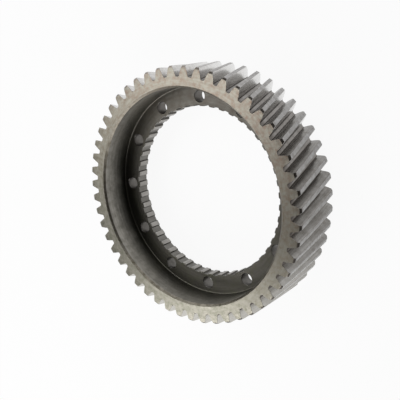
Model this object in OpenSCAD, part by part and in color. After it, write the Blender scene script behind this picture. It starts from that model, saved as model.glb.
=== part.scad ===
/* [Toothing] */
// Number of helical teeth
tooth_count = 51; // [48:1:54]
// Normal module, which sets the spacing of the teeth
module_n = 6; // [5.8:0.05:6.3]
// Normal pressure angle of the involute flanks
pressure_angle = 20; // [18:0.5:22]
// Helix angle at the pitch circle, left hand
helix_angle = 17; // [12:0.5:22]
// Height of a tooth above the pitch circle
addendum = 6; // [5.4:0.1:6.4]
// Depth of a tooth space below the pitch circle
dedendum = 7.2; // [6.8:0.1:7.8]
// Radius of the corner between a flank and the floor of its space
root_fillet = 2; // [1.2:0.1:2.2]
// Bevel along both edges of each tooth tip
tip_break = 0.3; // [0.1:0.1:0.6]
// Bevel on the teeth where they meet both end faces
end_chamfer = 2.5; // [1:0.5:4]
// Angle of the first tooth on the front face, from the X axis
tooth_phase = 6.85; // [0:0.05:7]

/* [Rim] */
// Width of the gear across its teeth
face_w = 81; // [72:0.5:90]
// Thickness of the rim, from the floor of a tooth space in to the recess
rim_t = 13.3; // [11:0.1:16]
// Depth of the front recess, down to the web
recess_depth = 42; // [36:0.5:46]
// Bevel at the mouth of each recess
mouth_chamfer = 2.5; // [1:0.5:4]
// Radius of the corner between a recess wall and the web
corner_fillet = 1.5; // [1:0.5:5]

/* [Web] */
// Thickness of the web between the two recesses
web_t = 17; // [12:0.5:20]
// Width of the web, from the recess wall in to the tips of the spline
web_w = 27; // [24:0.5:30]
// Number of bolt holes round the web
hole_count = 12; // [6:1:16]
// Diameter of the bolt holes
hole_d = 16; // [10:0.5:17]
// Distance from the tips of the spline out to the middle of the bolt holes
hole_inset = 13; // [11.5:0.1:14.5]
// Bevel at both ends of each bolt hole
hole_chamfer = 0.4; // [0.2:0.1:1]
// Angle of the first bolt hole, from the X axis
hole_phase = 27.9; // [0:0.1:30]

/* [Internal spline] */
// Number of straight teeth round the bore
spline_count = 47; // [42:1:50]
// Height of the spline's teeth
spline_tooth_h = 2; // [1.5:0.1:2.6]
// Width of a spline tooth at its tip
spline_tip_w = 6; // [5:0.1:7]
// Slope of the spline's flanks
spline_flank_angle = 30; // [20:1:35]
// Bevel at both ends of the spline
spline_chamfer = 0.6; // [0.5:0.1:1.5]
// Angle of the first spline tooth, from the X axis
spline_phase = 2.3; // [0:0.1:7.6]

/* [Hidden] */

$fn = 144;
overrun = 0.5; // how far each cutter reaches past the metal
helix_layers = 3; // layers of the twisted tooth spaces
flank_steps = 3; // straight lengths along an involute flank
fillet_steps = 3; // straight lengths round a root fillet
corner_steps = 8; // straight lengths round a recess corner

// Involute toothing in the plane of rotation
transverse_angle = atan(tan(pressure_angle) / cos(helix_angle));
pitch_r = tooth_count * module_n / (2 * cos(helix_angle));
base_r = pitch_r * cos(transverse_angle);
tip_r = pitch_r + addendum;
root_r = pitch_r - dedendum;
turn_per_mm = degrees_on(pitch_r, tan(helix_angle));

recess_r = root_r - rim_t;
web_top = face_w - recess_depth;
web_bottom = web_top - web_t;
spline_r = recess_r - web_w;
spline_root_r = spline_r + spline_tooth_h;
spline_space_w = 2 * PI * spline_r / spline_count - spline_tip_w;
spline_slope = tan(spline_flank_angle);
hole_r = hole_d / 2;
hole_circle_r = spline_r + hole_inset;

function polar(r, a) = [r * cos(a), r * sin(a)];
function degrees_on(r, length) = length / r * 180 / PI;
function mirrored(side) = [for (i = [len(side) - 1 : -1 : 0]) [side[i].x, -side[i].y]];

// The flank's slope away from the radius, and half the angle across a tooth space
function flank_slope(r) = acos(base_r / r);
function involute(a) = tan(a) * 180 / PI - a;
function half_space(r) =
    90 / tooth_count + involute(flank_slope(r)) - involute(transverse_angle);

// One side of a tooth space: round corner on the floor, involute flank, bevel at the tip
fillet_r = root_r + root_fillet;
fillet_slope = flank_slope(fillet_r);
fillet_a = half_space(fillet_r) - degrees_on(fillet_r, root_fillet / cos(fillet_slope));
flank_start_r = fillet_r - root_fillet * sin(fillet_slope);
flank_end_r = tip_r - tip_break;

function fillet_point(i) =
    polar(fillet_r, fillet_a)
    + polar(root_fillet, fillet_a + 180 - (90 - fillet_slope) * i / fillet_steps);
function flank_point(i) =
    let (r = flank_start_r + (flank_end_r - flank_start_r) * i / flank_steps)
    polar(r, half_space(r));
function tip_point() =
    polar(tip_r + overrun, half_space(flank_end_r) + degrees_on(tip_r, tip_break + overrun));
function space_side() = concat(
    [for (i = [0 : fillet_steps - 1]) fillet_point(i)],
    [for (i = [0 : flank_steps]) flank_point(i)],
    [tip_point()]);

// Quarter of a circle about a centre, as points from angle a0 to angle a1
function corner(centre, a0, a1) =
    [for (i = [0 : corner_steps]) centre + polar(corner_fillet, a0 + (a1 - a0) * i / corner_steps)];

// Half of the blank's section, before its teeth and holes are cut
module blank_section() {
    corner_x = recess_r - corner_fillet;
    polygon(concat(
        [[recess_r + mouth_chamfer, 0],
         [tip_r - end_chamfer, 0],
         [tip_r, end_chamfer],
         [tip_r, face_w - end_chamfer],
         [tip_r - end_chamfer, face_w],
         [recess_r + mouth_chamfer, face_w],
         [recess_r, face_w - mouth_chamfer]],
        corner([corner_x, web_top + corner_fillet], 0, -90),
        [[spline_r + spline_chamfer, web_top],
         [spline_r, web_top - spline_chamfer],
         [spline_r, web_bottom + spline_chamfer],
         [spline_r + spline_chamfer, web_bottom]],
        corner([corner_x, web_bottom - corner_fillet], 90, 0),
        [[recess_r, mouth_chamfer]]));
}

// All the spaces between the helical teeth, turning left-handed up the gear
module tooth_spaces() {
    cut_h = face_w + 2 * overrun;
    first_space = tooth_phase + 180 / tooth_count + turn_per_mm * (face_w + overrun);
    translate([0, 0, -overrun])
        linear_extrude(height = cut_h, twist = turn_per_mm * cut_h, slices = helix_layers, segments = 1)
            for (i = [0 : tooth_count - 1])
                rotate(first_space + i * 360 / tooth_count)
                    polygon(concat(space_side(), mirrored(space_side())));
}

// One space of the internal spline, as wide as two flanks leave it
module spline_space() {
    mouth = [spline_r - overrun, spline_space_w / 2 + overrun * spline_slope];
    floor_corner = [spline_root_r, spline_space_w / 2 - spline_tooth_h * spline_slope];
    translate([0, 0, web_bottom - overrun])
        linear_extrude(height = web_t + 2 * overrun)
            polygon(concat([mouth, floor_corner], mirrored([mouth, floor_corner])));
}

// A bolt hole right through the web, bevelled at both ends
module bolt_hole() {
    bevel_h = hole_chamfer + overrun;
    wide_r = hole_r + bevel_h;
    translate([0, 0, web_bottom - overrun]) {
        cylinder(h = web_t + 2 * overrun, r = hole_r);
        cylinder(h = bevel_h, r1 = wide_r, r2 = hole_r);
        translate([0, 0, web_t + 2 * overrun - bevel_h])
            cylinder(h = bevel_h, r1 = hole_r, r2 = wide_r);
    }
}

// The gear lies on its back face, with the front recess up and its axis along Z
module bull_gear() {
    color([0.63, 0.61, 0.57])
        difference() {
            rotate_extrude() blank_section();
            tooth_spaces();
            for (i = [0 : spline_count - 1])
                rotate(spline_phase + (i + 0.5) * 360 / spline_count) spline_space();
            for (i = [0 : hole_count - 1])
                rotate(hole_phase + i * 360 / hole_count)
                    translate([hole_circle_r, 0, 0]) bolt_hole();
        }
}

bull_gear();
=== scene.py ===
import math

import bmesh
import bpy
from mathutils import Matrix, Vector


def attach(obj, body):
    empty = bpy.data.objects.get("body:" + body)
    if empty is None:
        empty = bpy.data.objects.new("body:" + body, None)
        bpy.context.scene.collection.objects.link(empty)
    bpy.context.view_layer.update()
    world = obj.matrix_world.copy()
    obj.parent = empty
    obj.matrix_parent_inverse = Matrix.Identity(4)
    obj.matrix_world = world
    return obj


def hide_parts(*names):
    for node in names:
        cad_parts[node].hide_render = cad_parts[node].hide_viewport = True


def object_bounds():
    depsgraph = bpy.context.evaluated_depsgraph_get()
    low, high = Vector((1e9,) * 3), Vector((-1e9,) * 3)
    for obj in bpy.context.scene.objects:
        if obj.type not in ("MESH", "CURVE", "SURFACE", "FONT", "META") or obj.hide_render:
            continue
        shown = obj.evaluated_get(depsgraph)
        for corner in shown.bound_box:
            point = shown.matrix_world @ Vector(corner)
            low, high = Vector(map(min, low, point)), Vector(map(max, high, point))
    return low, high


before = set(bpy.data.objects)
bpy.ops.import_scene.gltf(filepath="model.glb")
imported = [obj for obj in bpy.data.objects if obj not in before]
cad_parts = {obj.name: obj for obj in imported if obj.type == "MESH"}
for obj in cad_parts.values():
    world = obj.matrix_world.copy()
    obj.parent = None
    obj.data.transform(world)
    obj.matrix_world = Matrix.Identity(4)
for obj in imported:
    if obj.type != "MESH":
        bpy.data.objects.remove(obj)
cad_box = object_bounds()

# Toothed rim: a forged ring of case-hardening steel. Its 51 left-hand helical teeth are hobbed and
# then ground on their flanks. The blank was turned first, so every tooth tip has the lathe's bevel
# where it meets the two end faces, which are turned flat.
MM = 0.001
FACE_WIDTH = 81 * MM
TEETH = 51
NORMAL_MODULE = 6 * MM
PRESSURE_ANGLE = math.radians(20)
HELIX_ANGLE = math.radians(17)
ADDENDUM = 6 * MM
DEDENDUM = 7.2 * MM
ROOT_FILLET = 2 * MM
TIP_END_BEVEL = 2.5 * MM
TOOTH_PHASE = math.radians(6.85)
EDGE_BREAK = 0.2 * MM
RIM_THICKNESS = 13.3 * MM
MOUTH_BEVEL = 2.5 * MM

HELIX_LAYERS = 24
FLANK_STEPS = 8
FILLET_STEPS = 5
SEAM_STEPS = 4
SHARP_EDGE = math.radians(25)
WELD = 0.001 * MM

transverse_angle = math.atan(math.tan(PRESSURE_ANGLE) / math.cos(HELIX_ANGLE))
pitch_radius = TEETH * NORMAL_MODULE / (2 * math.cos(HELIX_ANGLE))
base_radius = pitch_radius * math.cos(transverse_angle)
tip_radius = pitch_radius + ADDENDUM
root_radius = pitch_radius - DEDENDUM
turn_per_metre = math.tan(HELIX_ANGLE) / pitch_radius
helix_turn = FACE_WIDTH * turn_per_metre
flank_start = root_radius + ROOT_FILLET * (1 - math.sin(transverse_angle))
recess_radius = root_radius - RIM_THICKNESS
mouth_radius = recess_radius + MOUTH_BEVEL


def polar(radius, angle):
    return Vector((radius * math.cos(angle), radius * math.sin(angle), 0))


def flank_slope(radius):
    """The angle between the involute and a line out from the axis."""
    return math.acos(base_radius / radius)


def involute(angle):
    return math.tan(angle) - angle


def half_space(radius):
    """Half the angle across a tooth space at this radius."""
    return math.pi / (2 * TEETH) + involute(flank_slope(radius)) - involute(transverse_angle)


def rim_space_side():
    """One side of a tooth space, from the middle of its floor up the involute to the tip."""
    centre_radius = root_radius + ROOT_FILLET
    slope = flank_slope(centre_radius)
    centre_angle = half_space(centre_radius) - ROOT_FILLET / math.cos(slope) / centre_radius
    centre = polar(centre_radius, centre_angle)
    side = [polar(root_radius, 0)]
    for i in range(FILLET_STEPS):
        swing = math.pi - (math.pi / 2 - slope) * i / FILLET_STEPS
        side.append(centre + polar(ROOT_FILLET, centre_angle + swing))
    start = centre_radius - ROOT_FILLET * math.sin(slope)
    for i in range(FLANK_STEPS + 1):
        radius = start + (tip_radius - start) * i / FLANK_STEPS
        side.append(polar(radius, half_space(radius)))
    return side


def tooth_outline(space_side, teeth):
    """A whole tooth between the middles of two spaces, from one side of a space."""
    turned = Matrix.Rotation(-math.pi / teeth, 3, "Z")
    near_side = [turned @ p for p in space_side]
    return near_side + [Vector((p.x, -p.y, 0)) for p in reversed(near_side)]


# How far a face's normal leans to the gear's axis: 1 for a flat end and 0 for an upright wall.
FLAT_END = 0.9
SLANTED_END = 0.6
UPRIGHT_WALL = 0.5


def toothed_ring(outline, seam, tip, teeth, front, width, turn, layers, end_bevel, edge_break):
    """One tooth swept from front to back, bevelled at both ends and repeated round the axis.

    The teeth end at the seam's radius with no wall, where other parts of the gear take over.
    """
    pitch = 2 * math.pi / teeth
    outward = 1 if tip > seam else -1
    ring = bmesh.new()
    seam_arc = [polar(seam, pitch * (0.5 - i / SEAM_STEPS)) for i in range(SEAM_STEPS + 1)]
    ring.faces.new([ring.verts.new(p) for p in outline + seam_arc])
    bmesh.ops.translate(ring, verts=ring.verts, vec=(0, 0, front))
    bmesh.ops.spin(
        ring, geom=ring.verts[:] + ring.edges[:] + ring.faces[:], axis=(0, 0, 1),
        dvec=(0, 0, -width / layers), angle=turn, steps=layers)
    for z, angle, up in ((front, 0, 1), (front - width, turn, -1)):
        cut = bmesh.ops.bisect_plane(
            ring, geom=ring.verts[:] + ring.edges[:] + ring.faces[:], clear_outer=True,
            plane_co=polar(tip - outward * end_bevel, angle) + Vector((0, 0, z)),
            plane_no=polar(outward, angle) + Vector((0, 0, up)))
        rim = [e for e in cut["geom_cut"] if isinstance(e, bmesh.types.BMEdge)]
        bmesh.ops.edgeloop_fill(ring, edges=rim)
    ring.normal_update()
    seam_walls = [
        f for f in ring.faces
        if abs(f.normal.z) < UPRIGHT_WALL
        and any(abs(v.co.xy.length - seam) < WELD for v in f.verts)]
    bmesh.ops.delete(ring, geom=seam_walls, context="FACES")
    sharp = [e for e in ring.edges if e.calc_face_angle(0) > SHARP_EDGE]
    bmesh.ops.bevel(
        ring, geom=sharp, affect="EDGES", offset=edge_break, segments=1, profile=0.5,
        material=-1)
    bmesh.ops.spin(
        ring, geom=ring.verts[:] + ring.edges[:] + ring.faces[:], axis=(0, 0, 1),
        angle=2 * math.pi - pitch, steps=teeth - 1, use_duplicate=True)
    bmesh.ops.remove_doubles(ring, verts=ring.verts, dist=WELD)
    return ring


gear = bmesh.new()
(END_FACE, END_BEVEL, TIP, DRIVEN_FLANK, COAST_FLANK, ROOT, MOUTH, RECESS, CREST, SPLINE_FLOOR,
 SPLINE_FLANK, WEB, HOLE) = range(13)


def add_to_gear(part, finish_of):
    """Joins a part to the gear's mesh, with a finish for each of its faces."""
    for face in part.faces:
        face.material_index = finish_of(face)
    shape = bpy.data.meshes.new("part_of_gear")
    part.to_mesh(shape)
    part.free()
    gear.from_mesh(shape)
    bpy.data.meshes.remove(shape)


def rim_finish_of(face):
    if abs(face.normal.z) > FLAT_END:
        return END_FACE
    if abs(face.normal.z) > SLANTED_END:
        return END_BEVEL
    place = face.calc_center_median()
    reach = place.xy.length
    if reach > tip_radius - EDGE_BREAK:
        return TIP
    if reach < flank_start:
        return ROOT
    return DRIVEN_FLANK if place.cross(face.normal).z > 0 else COAST_FLANK


rim = toothed_ring(
    tooth_outline(rim_space_side(), TEETH), mouth_radius, tip_radius, TEETH,
    FACE_WIDTH, FACE_WIDTH, helix_turn, HELIX_LAYERS, TIP_END_BEVEL, EDGE_BREAK)
bmesh.ops.rotate(rim, verts=rim.verts, matrix=Matrix.Rotation(TOOTH_PHASE, 3, "Z"))
rim.normal_update()
add_to_gear(rim, rim_finish_of)


def linear(hex_colour):
    """An sRGB hex value as the linear colour that a shader takes."""
    parts = [int(hex_colour[i:i + 2], 16) / 255 for i in (1, 3, 5)]
    return [c / 12.92 if c <= 0.04045 else ((c + 0.055) / 1.055) ** 2.4 for c in parts] + [1]


def add_node(material, kind, inputs=None, **settings):
    """Adds a node with its settings, and its inputs as values or as links from other nodes."""
    made = material.node_tree.nodes.new(kind)
    for name, value in settings.items():
        setattr(made, name, value)
    for key, value in (inputs or {}).items():
        if isinstance(value, bpy.types.NodeSocket):
            material.node_tree.links.new(value, made.inputs[key])
        else:
            made.inputs[key].default_value = value
    return made


# The two colours that a Mix node takes, and the one that it gives, by their places on the node.
MIX_A, MIX_B, MIXED = 6, 7, 2


def turned_marks(finish, place, across, along):
    """Rings about the gear's axis: the pattern's place, and the way the marks run."""
    flat = add_node(
        finish, "ShaderNodeVectorMath", {0: place, 1: (1, 1, 0)}, operation="MULTIPLY").outputs[0]
    way_out = add_node(finish, "ShaderNodeVectorMath", {0: flat}, operation="NORMALIZE").outputs[0]
    round_axis = add_node(
        finish, "ShaderNodeVectorMath", {0: way_out, "Scale": tip_radius / along},
        operation="SCALE").outputs[0]
    reach = add_node(
        finish, "ShaderNodeVectorMath", {0: flat}, operation="LENGTH").outputs["Value"]
    height = add_node(finish, "ShaderNodeSeparateXYZ", {0: place}).outputs["Z"]
    depth = add_node(
        finish, "ShaderNodeMath", {0: reach, 1: height}, operation="ADD").outputs[0]
    depth = add_node(
        finish, "ShaderNodeMath", {0: depth, 1: 1 / across}, operation="MULTIPLY").outputs[0]
    lift = add_node(finish, "ShaderNodeCombineXYZ", {"Z": depth}).outputs[0]
    pattern = add_node(
        finish, "ShaderNodeVectorMath", {0: round_axis, 1: lift}, operation="ADD").outputs[0]
    run = add_node(
        finish, "ShaderNodeVectorMath", {0: (0, 0, 1), 1: place}, operation="CROSS_PRODUCT")
    return pattern, run.outputs[0]


def helical_marks(finish, place, across, along):
    """Streaks along the teeth, from places turned back by the helix to where it starts."""
    height = add_node(finish, "ShaderNodeSeparateXYZ", {0: place}).outputs["Z"]
    back_turn = add_node(
        finish, "ShaderNodeMath", {0: height, 1: turn_per_metre}, operation="MULTIPLY").outputs[0]
    straight = add_node(
        finish, "ShaderNodeVectorRotate", {"Vector": place, "Angle": back_turn},
        rotation_type="Z_AXIS").outputs[0]
    pattern = add_node(
        finish, "ShaderNodeMapping",
        {"Vector": straight, "Scale": (1 / across, 1 / across, 1 / along)}).outputs[0]
    lean = add_node(
        finish, "ShaderNodeVectorMath", {0: (0, 0, -turn_per_metre), 1: place},
        operation="CROSS_PRODUCT").outputs[0]
    run = add_node(
        finish, "ShaderNodeVectorMath", {0: lean, 1: (0, 0, 1)}, operation="ADD").outputs[0]
    return pattern, run


def side_share(finish, place, side, start, end, most=1.0):
    """Grows from nothing to its most between two distances to one side of the gear's axis."""
    distance = add_node(
        finish, "ShaderNodeVectorMath", {0: place, 1: side},
        operation="DOT_PRODUCT").outputs["Value"]
    return add_node(
        finish, "ShaderNodeMapRange",
        {"Value": distance, "From Min": start, "From Max": end, "To Max": most}).outputs[0]


# Light rust stains one side of the gear and dried oil the other. Between these two distances to
# the rusty side of the axis, the one gives way to the other.
RUSTY_SIDE = polar(1, math.radians(65))
ALL_OIL = -0.6 * tip_radius
ALL_RUST = 0.8 * tip_radius
# A noise runs from 0 to 1. A stain begins at one level of it and is full at the next, and nearly
# all of the noise lies between the last two.
STAIN_EDGE = 0.42
STAIN_FULL = 0.66
NOISE_LOW = 0.3
NOISE_HIGH = 0.7
ROUGHNESS_SPREAD = 0.12
# Tool marks are too fine to show in the render, so all are drawn ten times as wide as they are.
DRAWN_WIDER = 10
# A quarter of a turn, so that the shine spreads across the marks.
ACROSS_MARKS = 0.25


def cut_steel(
        name, marks, across, along, dark, light, oil, rust, stain_size, stain_share,
        roughness, anisotropy, mark_depth, painted_light_and_dirt=None, painted_light_and_dirt_share=None):
    """Cut steel: tool marks that run one way, and small stains of dried oil and light rust.

    across and along are the real width and length of a mark, and the metal goes from dark to light
    over the marks. Painted light and shade, with dirt in some places, lie over all of that, as
    thick as painted_light_and_dirt_share says.
    """
    finish = bpy.data.materials.new(name)
    finish.use_nodes = True
    finish.node_tree.nodes.clear()
    place = add_node(finish, "ShaderNodeTexCoord").outputs["Object"]
    pattern, run = marks(finish, place, DRAWN_WIDER * across, along)
    streaks = add_node(
        finish, "ShaderNodeTexNoise", {"Vector": pattern, "Scale": 1.0, "Detail": 3.0}).outputs[0]
    metal = add_node(
        finish, "ShaderNodeMix", {"Factor": streaks, MIX_A: linear(dark), MIX_B: linear(light)},
        data_type="RGBA").outputs[MIXED]
    patches = add_node(
        finish, "ShaderNodeTexNoise",
        {"Vector": place, "Scale": 1 / stain_size, "Detail": 6.0, "Roughness": 0.7}).outputs[0]
    stained = add_node(
        finish, "ShaderNodeMapRange",
        {"Value": patches, "From Min": STAIN_EDGE, "From Max": STAIN_FULL,
         "To Max": stain_share}).outputs[0]
    rustiness = side_share(finish, place, RUSTY_SIDE, ALL_OIL, ALL_RUST)
    stain = add_node(
        finish, "ShaderNodeMix", {"Factor": rustiness, MIX_A: linear(oil), MIX_B: linear(rust)},
        data_type="RGBA").outputs[MIXED]
    colour = add_node(
        finish, "ShaderNodeMix", {"Factor": stained, MIX_A: metal, MIX_B: stain},
        data_type="RGBA").outputs[MIXED]
    if painted_light_and_dirt:
        colour = add_node(
            finish, "ShaderNodeMix",
            {"Factor": painted_light_and_dirt_share(finish, place), MIX_A: colour, MIX_B: linear(painted_light_and_dirt)},
            data_type="RGBA").outputs[MIXED]
    rough = add_node(
        finish, "ShaderNodeMapRange",
        {"Value": patches, "From Min": NOISE_LOW, "From Max": NOISE_HIGH,
         "To Min": roughness * (1 - ROUGHNESS_SPREAD),
         "To Max": roughness * (1 + ROUGHNESS_SPREAD)}).outputs[0]
    relief = add_node(
        finish, "ShaderNodeBump", {"Height": streaks, "Distance": mark_depth, "Strength": 1.0})
    shader = add_node(
        finish, "ShaderNodeBsdfPrincipled",
        {"Base Color": colour, "Metallic": 1.0, "Roughness": rough, "Anisotropic": anisotropy,
         "Anisotropic Rotation": ACROSS_MARKS, "Tangent": run, "Normal": relief.outputs[0]})
    add_node(finish, "ShaderNodeOutputMaterial", {"Surface": shader.outputs[0]})
    return finish


# Turned steel: it shines along a radius, across rings too fine to be seen one by one.
end_face_finish = cut_steel(
    "turned_steel_end_face", turned_marks, across=0.2 * MM, along=40 * MM,
    dark="#8D897E", light="#B3AFA3", oil="#727563", rust="#907263", stain_size=5.5 * MM,
    stain_share=0.6, roughness=0.42, anisotropy=0.75, mark_depth=0.02 * MM)
# The same steel on the tips of the teeth: painted paler with painted light, and smoother, with
# faint stains.
tip_finish = cut_steel(
    "turned_steel_tooth_tip", turned_marks, across=0.2 * MM, along=40 * MM,
    dark="#B6B5B4", light="#D3D2D1", oil="#99948B", rust="#9B958F", stain_size=6 * MM,
    stain_share=0.5, roughness=0.42, anisotropy=0.95, mark_depth=0.005 * MM)
# The same steel where a broad tool broke the ends of the teeth: darker and browner with painted
# shade, and with old oil.
end_bevel_finish = cut_steel(
    "turned_steel_end_bevel", turned_marks, across=0.2 * MM, along=40 * MM,
    dark="#76706A", light="#938D86", oil="#4F4C3F", rust="#57493C", stain_size=4.5 * MM,
    stain_share=0.6, roughness=0.34, anisotropy=0.2, mark_depth=0.01 * MM)

# The painted highlight on the driven flanks, at the back face and at the front face.
BACK_HIGHLIGHT = 0.85
FRONT_HIGHLIGHT = 0.1


def painted_back_highlight(finish, place):
    """How much a painted highlight whitens the driven flanks: most at the back, least at the
    front.
    """
    height = add_node(finish, "ShaderNodeSeparateXYZ", {0: place}).outputs["Z"]
    return add_node(
        finish, "ShaderNodeMapRange",
        {"Value": height, "From Min": 0.0, "From Max": FACE_WIDTH, "To Min": BACK_HIGHLIGHT,
         "To Max": FRONT_HIGHLIGHT}).outputs[0]


# Ground steel on the flank that is driven: painted brighter than the other flank as its lit copy,
# with long streaks, and a painted highlight that whitens it towards the back.
driven_flank_finish = cut_steel(
    "ground_steel_driven_flank_painted_light", helical_marks, across=0.15 * MM, along=60 * MM,
    dark="#9C9A98", light="#EFEDEA", oil="#98978F", rust="#978D84", stain_size=9 * MM,
    stain_share=0.4, roughness=0.24, anisotropy=0.3, mark_depth=0.02 * MM,
    painted_light_and_dirt="#FBFBFA", painted_light_and_dirt_share=painted_back_highlight)

# Painted light whitens the coast flanks on this side of the gear, from this far out.
WHITENED_SIDE = polar(1, math.radians(265))
WHITENED_START = 0.3 * tip_radius
WHITENED_SHARE = 0.55


def painted_side_light(finish, place):
    """How much painted light whitens the coast flanks, on one side of the gear only."""
    return side_share(finish, place, WHITENED_SIDE, WHITENED_START, tip_radius, WHITENED_SHARE)


# Ground steel on the other flank, which seldom runs: painted darker than the driven flank as its
# shaded copy, with stains of old oil, and painted near white with painted light on one side of the
# gear.
coast_flank_finish = cut_steel(
    "ground_steel_coast_flank", helical_marks, across=0.15 * MM, along=60 * MM,
    dark="#615F5D", light="#B8B6B3", oil="#65635C", rust="#635A52", stain_size=9 * MM,
    stain_share=0.5, roughness=0.24, anisotropy=0.3, mark_depth=0.02 * MM,
    painted_light_and_dirt="#F8F5EC", painted_light_and_dirt_share=painted_side_light)

# Painted shade, with old oil and rust in it, where the spaces open in front and up the root's
# round corners.
FRONT_SHADE_AND_DIRT_START = FACE_WIDTH - 14 * MM
FRONT_SHADE_AND_DIRT_FULL = FACE_WIDTH - 3 * MM
FRONT_SHADE_AND_DIRT = 0.55
CORNER_SHADE_AND_DIRT_START = root_radius + 0.2 * MM
CORNER_SHADE_AND_DIRT_FULL = root_radius + 1 * MM
CORNER_SHADE_AND_DIRT = 0.85


def root_shade_and_dirt(finish, place):
    """Painted shade with old oil and rust in it: up the root's round corners, and where the spaces
    open in front.
    """
    height = add_node(finish, "ShaderNodeSeparateXYZ", {0: place}).outputs["Z"]
    in_front = add_node(
        finish, "ShaderNodeMapRange",
        {"Value": height, "From Min": FRONT_SHADE_AND_DIRT_START, "From Max": FRONT_SHADE_AND_DIRT_FULL,
         "To Max": FRONT_SHADE_AND_DIRT}).outputs[0]
    flat = add_node(
        finish, "ShaderNodeVectorMath", {0: place, 1: (1, 1, 0)}, operation="MULTIPLY").outputs[0]
    reach = add_node(
        finish, "ShaderNodeVectorMath", {0: flat}, operation="LENGTH").outputs["Value"]
    in_corner = add_node(
        finish, "ShaderNodeMapRange",
        {"Value": reach, "From Min": CORNER_SHADE_AND_DIRT_START, "From Max": CORNER_SHADE_AND_DIRT_FULL,
         "To Max": CORNER_SHADE_AND_DIRT}).outputs[0]
    return add_node(
        finish, "ShaderNodeMath", {0: in_front, 1: in_corner}, operation="MAXIMUM").outputs[0]


# Hobbed steel: the grinding wheel stops above it, so the skin from hardening is still there, grey
# along the floor. Painted shade with old oil and rust in it makes it dark brown in its corners and
# where the spaces open in front.
root_finish = cut_steel(
    "hobbed_steel_root", helical_marks, across=0.15 * MM, along=60 * MM,
    dark="#75726F", light="#B0ACA8", oil="#76746E", rust="#68615A", stain_size=9 * MM,
    stain_share=0.5, roughness=0.36, anisotropy=0.3, mark_depth=0.02 * MM,
    painted_light_and_dirt="#3D342B", painted_light_and_dirt_share=root_shade_and_dirt)

# Recess in each face: bored on the lathe down to the web, with a bevelled mouth, a plain wall and
# a round corner. It is left as turned and hardened, darker than the faces outside it.
RECESS_DEPTH = 42 * MM
WEB_THICKNESS = 17 * MM
CORNER_RADIUS = 1.5 * MM
CORNER_STEPS = 8
# The corner ends in a narrow flat ring, which keeps the web's wide triangles from shading it.
GUARD_RING = 0.1 * MM
# Faces this much off the wall's own radius belong to the mouth or the corner.
WALL_MARGIN = 0.05 * MM

web_front = FACE_WIDTH - RECESS_DEPTH
web_back = web_front - WEB_THICKNESS


def recess(face_z, web_z, inward, start):
    """The mouth, wall and corner of one recess, with steps that meet those of the toothed rim."""
    corner = Vector((recess_radius - CORNER_RADIUS, 0, web_z - inward * CORNER_RADIUS))
    section = [
        Vector((mouth_radius, 0, face_z)),
        Vector((recess_radius, 0, face_z + inward * MOUTH_BEVEL))]
    for i in range(CORNER_STEPS + 1):
        a = math.pi / 2 * i / CORNER_STEPS
        section.append(corner + CORNER_RADIUS * Vector((math.cos(a), 0, inward * math.sin(a))))
    section.append(section[-1] - Vector((GUARD_RING, 0, 0)))
    wall = bmesh.new()
    points = [wall.verts.new(p) for p in section]
    lines = [wall.edges.new(pair) for pair in zip(points, points[1:])]
    bmesh.ops.spin(
        wall, geom=points + lines, axis=(0, 0, 1), angle=2 * math.pi,
        steps=SEAM_STEPS * TEETH, use_merge=True)
    bmesh.ops.rotate(wall, verts=wall.verts, matrix=Matrix.Rotation(start, 3, "Z"))
    return wall


def recess_finish_of(face):
    """Oil darkens the corner as it does the web."""
    reach = face.calc_center_median().xy.length
    if reach > recess_radius + WALL_MARGIN:
        return MOUTH
    return WEB if reach < recess_radius - WALL_MARGIN else RECESS


half_pitch = math.pi / TEETH
add_to_gear(recess(FACE_WIDTH, web_front, -1, TOOTH_PHASE - half_pitch), recess_finish_of)
add_to_gear(recess(0, web_back, 1, TOOTH_PHASE + helix_turn - half_pitch), recess_finish_of)

# Painted shade on the recess wall: how far it reaches from the web's middle, and how dark it is
# there.
SHADE_REACH = 50 * MM
SHADE_SHARE = 0.8


def painted_recess_shade(finish, place):
    """How much painted shade darkens the wall: most beside the web, and none near the mouth."""
    height = add_node(finish, "ShaderNodeSeparateXYZ", {0: place}).outputs["Z"]
    above_web = add_node(
        finish, "ShaderNodeMath", {0: height, 1: (web_front + web_back) / 2},
        operation="SUBTRACT").outputs[0]
    reach = add_node(finish, "ShaderNodeMath", {0: above_web}, operation="ABSOLUTE").outputs[0]
    return add_node(
        finish, "ShaderNodeMapRange",
        {"Value": reach, "From Min": WEB_THICKNESS / 2, "From Max": SHADE_REACH,
         "To Min": SHADE_SHARE, "To Max": 0.0}, interpolation_type="SMOOTHSTEP").outputs[0]


# Hardened steel: darker, with faint rings from the boring tool, and painted shade that goes almost
# black down by the web.
recess_finish = cut_steel(
    "turned_steel_recess", turned_marks, across=0.3 * MM, along=80 * MM,
    dark="#7E7B74", light="#BDB9B1", oil="#5D5C53", rust="#665E56", stain_size=8 * MM,
    stain_share=0.4, roughness=0.34, anisotropy=0.8, mark_depth=0.02 * MM,
    painted_light_and_dirt="#2F3028", painted_light_and_dirt_share=painted_recess_shade)
# The same steel on the mouth's bevel, with brown oil that dried along its edges.
mouth_finish = cut_steel(
    "turned_steel_recess_mouth", turned_marks, across=0.3 * MM, along=80 * MM,
    dark="#7F7A70", light="#A09A8F", oil="#4F4C39", rust="#83776A", stain_size=8 * MM,
    stain_share=0.7, roughness=0.42, anisotropy=0.2, mark_depth=0.02 * MM)

# Internal spline: 47 straight teeth broached through the web's bore, each with a flat crest and
# sloped flanks. The bore's turned bevel leaves a slanted facet at both ends of each tooth.
SPLINE_TEETH = 47
WEB_WIDTH = 27 * MM
SPLINE_HEIGHT = 2 * MM
SPLINE_CREST = 6 * MM
SPLINE_FLANK_ANGLE = math.radians(30)
SPLINE_BEVEL = 0.6 * MM
SPLINE_PHASE = math.radians(2.3)
SPLINE_EDGE_BREAK = 0.15 * MM
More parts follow.
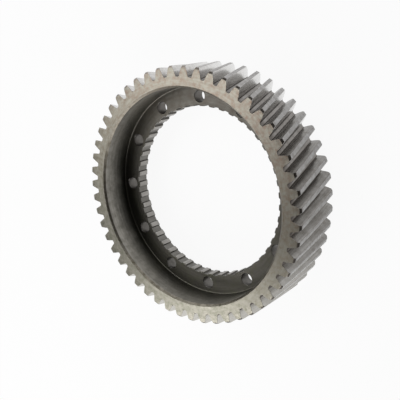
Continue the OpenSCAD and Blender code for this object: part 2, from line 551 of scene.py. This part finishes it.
# The spline's ends are part of the web's faces out to here.
SPLINE_SEAM_RADIUS = 116 * MM

spline_radius = recess_radius - WEB_WIDTH


def spline_space_side():
    """One side of a spline space, from the middle of its floor to the crest of a tooth."""
    floor = spline_radius + SPLINE_HEIGHT
    mouth = math.pi * spline_radius / SPLINE_TEETH - SPLINE_CREST / 2
    corner = mouth - SPLINE_HEIGHT * math.tan(SPLINE_FLANK_ANGLE)
    return [Vector((floor, 0, 0)), Vector((floor, corner, 0)), Vector((spline_radius, mouth, 0))]


spline = toothed_ring(
    tooth_outline(spline_space_side(), SPLINE_TEETH), SPLINE_SEAM_RADIUS, spline_radius,
    SPLINE_TEETH, web_front, WEB_THICKNESS, 0, 1, SPLINE_BEVEL, SPLINE_EDGE_BREAK)
bmesh.ops.rotate(spline, verts=spline.verts, matrix=Matrix.Rotation(SPLINE_PHASE, 3, "Z"))
spline.normal_update()


def spline_finish_of(face):
    if abs(face.normal.z) > FLAT_END:
        return WEB
    reach = face.calc_center_median().xy.length
    if reach < spline_radius + SPLINE_BEVEL:
        return CREST
    if reach > spline_radius + SPLINE_HEIGHT - SPLINE_EDGE_BREAK:
        return SPLINE_FLOOR
    return SPLINE_FLANK


add_to_gear(spline, spline_finish_of)


def broached_marks(finish, place, across, along):
    """Streaks straight along the axis, the way the broach was pulled."""
    pattern = add_node(
        finish, "ShaderNodeMapping",
        {"Vector": place, "Scale": (1 / across, 1 / across, 1 / along)}).outputs[0]
    run = add_node(finish, "ShaderNodeCombineXYZ", {"Z": 1.0}).outputs[0]
    return pattern, run


# Broached steel on the crests, painted bright with painted reflection, with lines where the broach
# scraped.
crest_finish = cut_steel(
    "broached_steel_spline_crest_painted_reflection", broached_marks, across=0.1 * MM, along=20 * MM,
    dark="#85837F", light="#B5B2AE", oil="#75736D", rust="#7A7168", stain_size=9 * MM,
    stain_share=0.4, roughness=0.28, anisotropy=0.3, mark_depth=0.02 * MM)
# Broached steel on the floors between them: as it was cut, and a little darker.
spline_floor_finish = cut_steel(
    "broached_steel_spline_floor", broached_marks, across=0.1 * MM, along=20 * MM,
    dark="#65635F", light="#8B8985", oil="#5C5A55", rust="#645C54", stain_size=9 * MM,
    stain_share=0.4, roughness=0.3, anisotropy=0.3, mark_depth=0.02 * MM)
# Broached steel on the flanks: dark with painted shade.
spline_flank_finish = cut_steel(
    "broached_steel_spline_flank_painted_shade", broached_marks, across=0.1 * MM, along=20 * MM,
    dark="#403E3A", light="#565450", oil="#37352F", rust="#3E3831", stain_size=9 * MM,
    stain_share=0.4, roughness=0.3, anisotropy=0.3, mark_depth=0.02 * MM)

# Web: the thin disc left between the two recesses, faced flat on both sides, with twelve drilled
# bolt holes whose edges are lightly broken.
HOLES = 12
HOLE_RADIUS = 8 * MM
HOLE_INSET = 13 * MM
HOLE_BEVEL = 0.4 * MM
HOLE_PHASE = math.radians(27.9)
HOLE_STEPS = 32

hole_circle_radius = spline_radius + HOLE_INSET

holes = bmesh.new()
hole_section = [
    (HOLE_RADIUS + HOLE_BEVEL, web_front),
    (HOLE_RADIUS, web_front - HOLE_BEVEL),
    (HOLE_RADIUS, web_back + HOLE_BEVEL),
    (HOLE_RADIUS + HOLE_BEVEL, web_back)]
points = [holes.verts.new((hole_circle_radius + x, 0, z)) for x, z in hole_section]
lines = [holes.edges.new(pair) for pair in zip(points, points[1:])]
bmesh.ops.spin(
    holes, geom=points + lines, cent=(hole_circle_radius, 0, 0), axis=(0, 0, 1),
    angle=2 * math.pi, steps=HOLE_STEPS, use_merge=True)
bmesh.ops.spin(
    holes, geom=holes.verts[:] + holes.edges[:] + holes.faces[:], axis=(0, 0, 1),
    angle=2 * math.pi * (HOLES - 1) / HOLES, steps=HOLES - 1, use_duplicate=True)
bmesh.ops.rotate(holes, verts=holes.verts, matrix=Matrix.Rotation(HOLE_PHASE, 3, "Z"))
add_to_gear(holes, lambda face: HOLE)

bmesh.ops.remove_doubles(gear, verts=gear.verts, dist=WELD)
for z, up in ((web_front, 1), (web_back, -1)):
    rims = [
        e for e in gear.edges
        if e.is_boundary and all(abs(v.co.z - z) < WELD for v in e.verts)]
    disc = bmesh.ops.triangle_fill(gear, use_beauty=True, edges=rims, normal=(0, 0, up))
    for face in disc["geom"]:
        if isinstance(face, bmesh.types.BMFace):
            face.material_index = WEB
bmesh.ops.recalc_face_normals(gear, faces=gear.faces)

# Faced steel under dried oil: the darkest surface, with faint rings.
web_finish = cut_steel(
    "faced_steel_web", turned_marks, across=0.3 * MM, along=80 * MM,
    dark="#4C4A45", light="#6C6963", oil="#575849", rust="#524943", stain_size=10 * MM,
    stain_share=0.6, roughness=0.38, anisotropy=0.45, mark_depth=0.02 * MM)
# Drilled steel: plain grey inside, with rings from the drill.
hole_finish = cut_steel(
    "drilled_steel_hole", turned_marks, across=0.3 * MM, along=80 * MM,
    dark="#63615D", light="#7E7B78", oil="#565450", rust="#625A53", stain_size=8 * MM,
    stain_share=0.5, roughness=0.38, anisotropy=0.0, mark_depth=0.01 * MM)

# The whole gear: one closed mesh, with a finish for each kind of machined surface.
gear_mesh = bpy.data.meshes.new("bull_gear_machined")
gear.to_mesh(gear_mesh)
gear.free()
gear_mesh.polygons.foreach_set("use_smooth", [True] * len(gear_mesh.polygons))
gear_mesh.set_sharp_from_angle(angle=SHARP_EDGE)
for finish in (
        end_face_finish, end_bevel_finish, tip_finish, driven_flank_finish, coast_flank_finish,
        root_finish, mouth_finish, recess_finish, crest_finish, spline_floor_finish,
        spline_flank_finish, web_finish, hole_finish):
    gear_mesh.materials.append(finish)
gear_piece = bpy.data.objects.new("bull_gear_machined", gear_mesh)
bpy.context.scene.collection.objects.link(gear_piece)
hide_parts("bull_gear")
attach(gear_piece, "root")

# Stage: a pale floor under the gear, soft studio boxes round the side away from the camera, and
# the camera where the photograph was taken from.
FLOOR_SIZE = 20.0
FLOOR_GAP = 0.2 * MM
# How much of the floor is plain white to the camera, and in what the metal mirrors.
WHITE_SHARE = 0.93
MIRRORED_SHARE = 0.8

floor_shape = bmesh.new()
bmesh.ops.create_grid(floor_shape, x_segments=1, y_segments=1, size=FLOOR_SIZE)
bmesh.ops.translate(floor_shape, verts=floor_shape.verts, vec=(0, 0, cad_box[0].z - FLOOR_GAP))
floor_mesh = bpy.data.meshes.new("floor")
floor_shape.to_mesh(floor_mesh)
floor_shape.free()
floor = bpy.data.objects.new("floor", floor_mesh)
bpy.context.scene.collection.objects.link(floor)

# White background paper: matt, and almost plain white behind the gear.
paper = bpy.data.materials.new("white_paper")
paper.use_nodes = True
paper.node_tree.nodes.clear()
rays = add_node(paper, "ShaderNodeLightPath")
mirrored = add_node(
    paper, "ShaderNodeMath",
    {0: rays.outputs["Is Glossy Ray"], 1: rays.outputs["Is Transmission Ray"]}, operation="ADD")
mirrored = add_node(
    paper, "ShaderNodeMath", {0: mirrored.outputs[0], 1: MIRRORED_SHARE}, operation="MULTIPLY")
share = add_node(
    paper, "ShaderNodeMath",
    {0: rays.outputs["Is Camera Ray"], 1: WHITE_SHARE, 2: mirrored.outputs[0]},
    operation="MULTIPLY_ADD")
matt = add_node(paper, "ShaderNodeBsdfDiffuse", {"Color": linear("#F2F2F2")})
white = add_node(paper, "ShaderNodeEmission", {"Color": (1, 1, 1, 1), "Strength": 1.0})
mixed = add_node(
    paper, "ShaderNodeMixShader",
    {0: share.outputs[0], 1: matt.outputs[0], 2: white.outputs[0]})
add_node(paper, "ShaderNodeOutputMaterial", {"Surface": mixed.outputs[0]})
floor_mesh.materials.append(paper)

SOFTBOX_DISTANCE = 1.5
SOFTBOX_WIDTH = 1.0
SOFTBOX_HEIGHT = 0.8


def softbox(name, azimuth, elevation, watts):
    """A lamp behind a wide white sheet, which faces the middle of the gear."""
    lamp = bpy.data.lights.new(name, "AREA")
    lamp.shape = "RECTANGLE"
    lamp.size = SOFTBOX_WIDTH
    lamp.size_y = SOFTBOX_HEIGHT
    lamp.energy = watts
    box = bpy.data.objects.new(name, lamp)
    back = polar(math.cos(math.radians(elevation)), math.radians(azimuth))
    back.z = math.sin(math.radians(elevation))
    box.location = back * SOFTBOX_DISTANCE
    box.rotation_euler = back.to_track_quat("Z", "Y").to_euler()
    bpy.context.scene.collection.objects.link(box)


# Each is named for the side of the picture that its light comes from.
softbox("bottom_left_softbox", azimuth=239, elevation=34, watts=8.1)
softbox("bottom_softbox", azimuth=279, elevation=34, watts=5.4)
softbox("left_softbox", azimuth=172, elevation=56, watts=5.5)
softbox("top_left_softbox", azimuth=131, elevation=14, watts=5.0)
softbox("top_softbox", azimuth=95, elevation=56, watts=4.2)

FILL_LIGHT = 0.055

world = bpy.data.worlds.new("studio")
world.use_nodes = True
fill = world.node_tree.nodes["Background"]
fill.inputs["Color"].default_value = (1, 1, 1, 1)
fill.inputs["Strength"].default_value = FILL_LIGHT
bpy.context.scene.world = world

CAMERA_PLACE = Vector((0.5046, 0.1837, 0.6943))
CAMERA_AIM = Vector((0.0255, 0.0017, FACE_WIDTH))
CAMERA_ROLL = math.radians(-110.7)
CAMERA_NEAREST = 0.01
# Both in millimetres, which is how Blender takes them.
LENS = 58.27
SENSOR_WIDTH = 36

camera_data = bpy.data.cameras.new("camera")
camera_data.lens = LENS
camera_data.sensor_width = SENSOR_WIDTH
camera_data.clip_start = CAMERA_NEAREST
camera = bpy.data.objects.new("camera", camera_data)
camera.location = CAMERA_PLACE
back = (CAMERA_PLACE - CAMERA_AIM).normalized()
camera.rotation_mode = "QUATERNION"
camera.rotation_quaternion = (
    Matrix.Rotation(CAMERA_ROLL, 3, back) @ back.to_track_quat("Z", "Y").to_matrix()
).to_quaternion()
bpy.context.scene.collection.objects.link(camera)
bpy.context.scene.camera = camera
bpy.context.scene.view_settings.view_transform = "Standard"
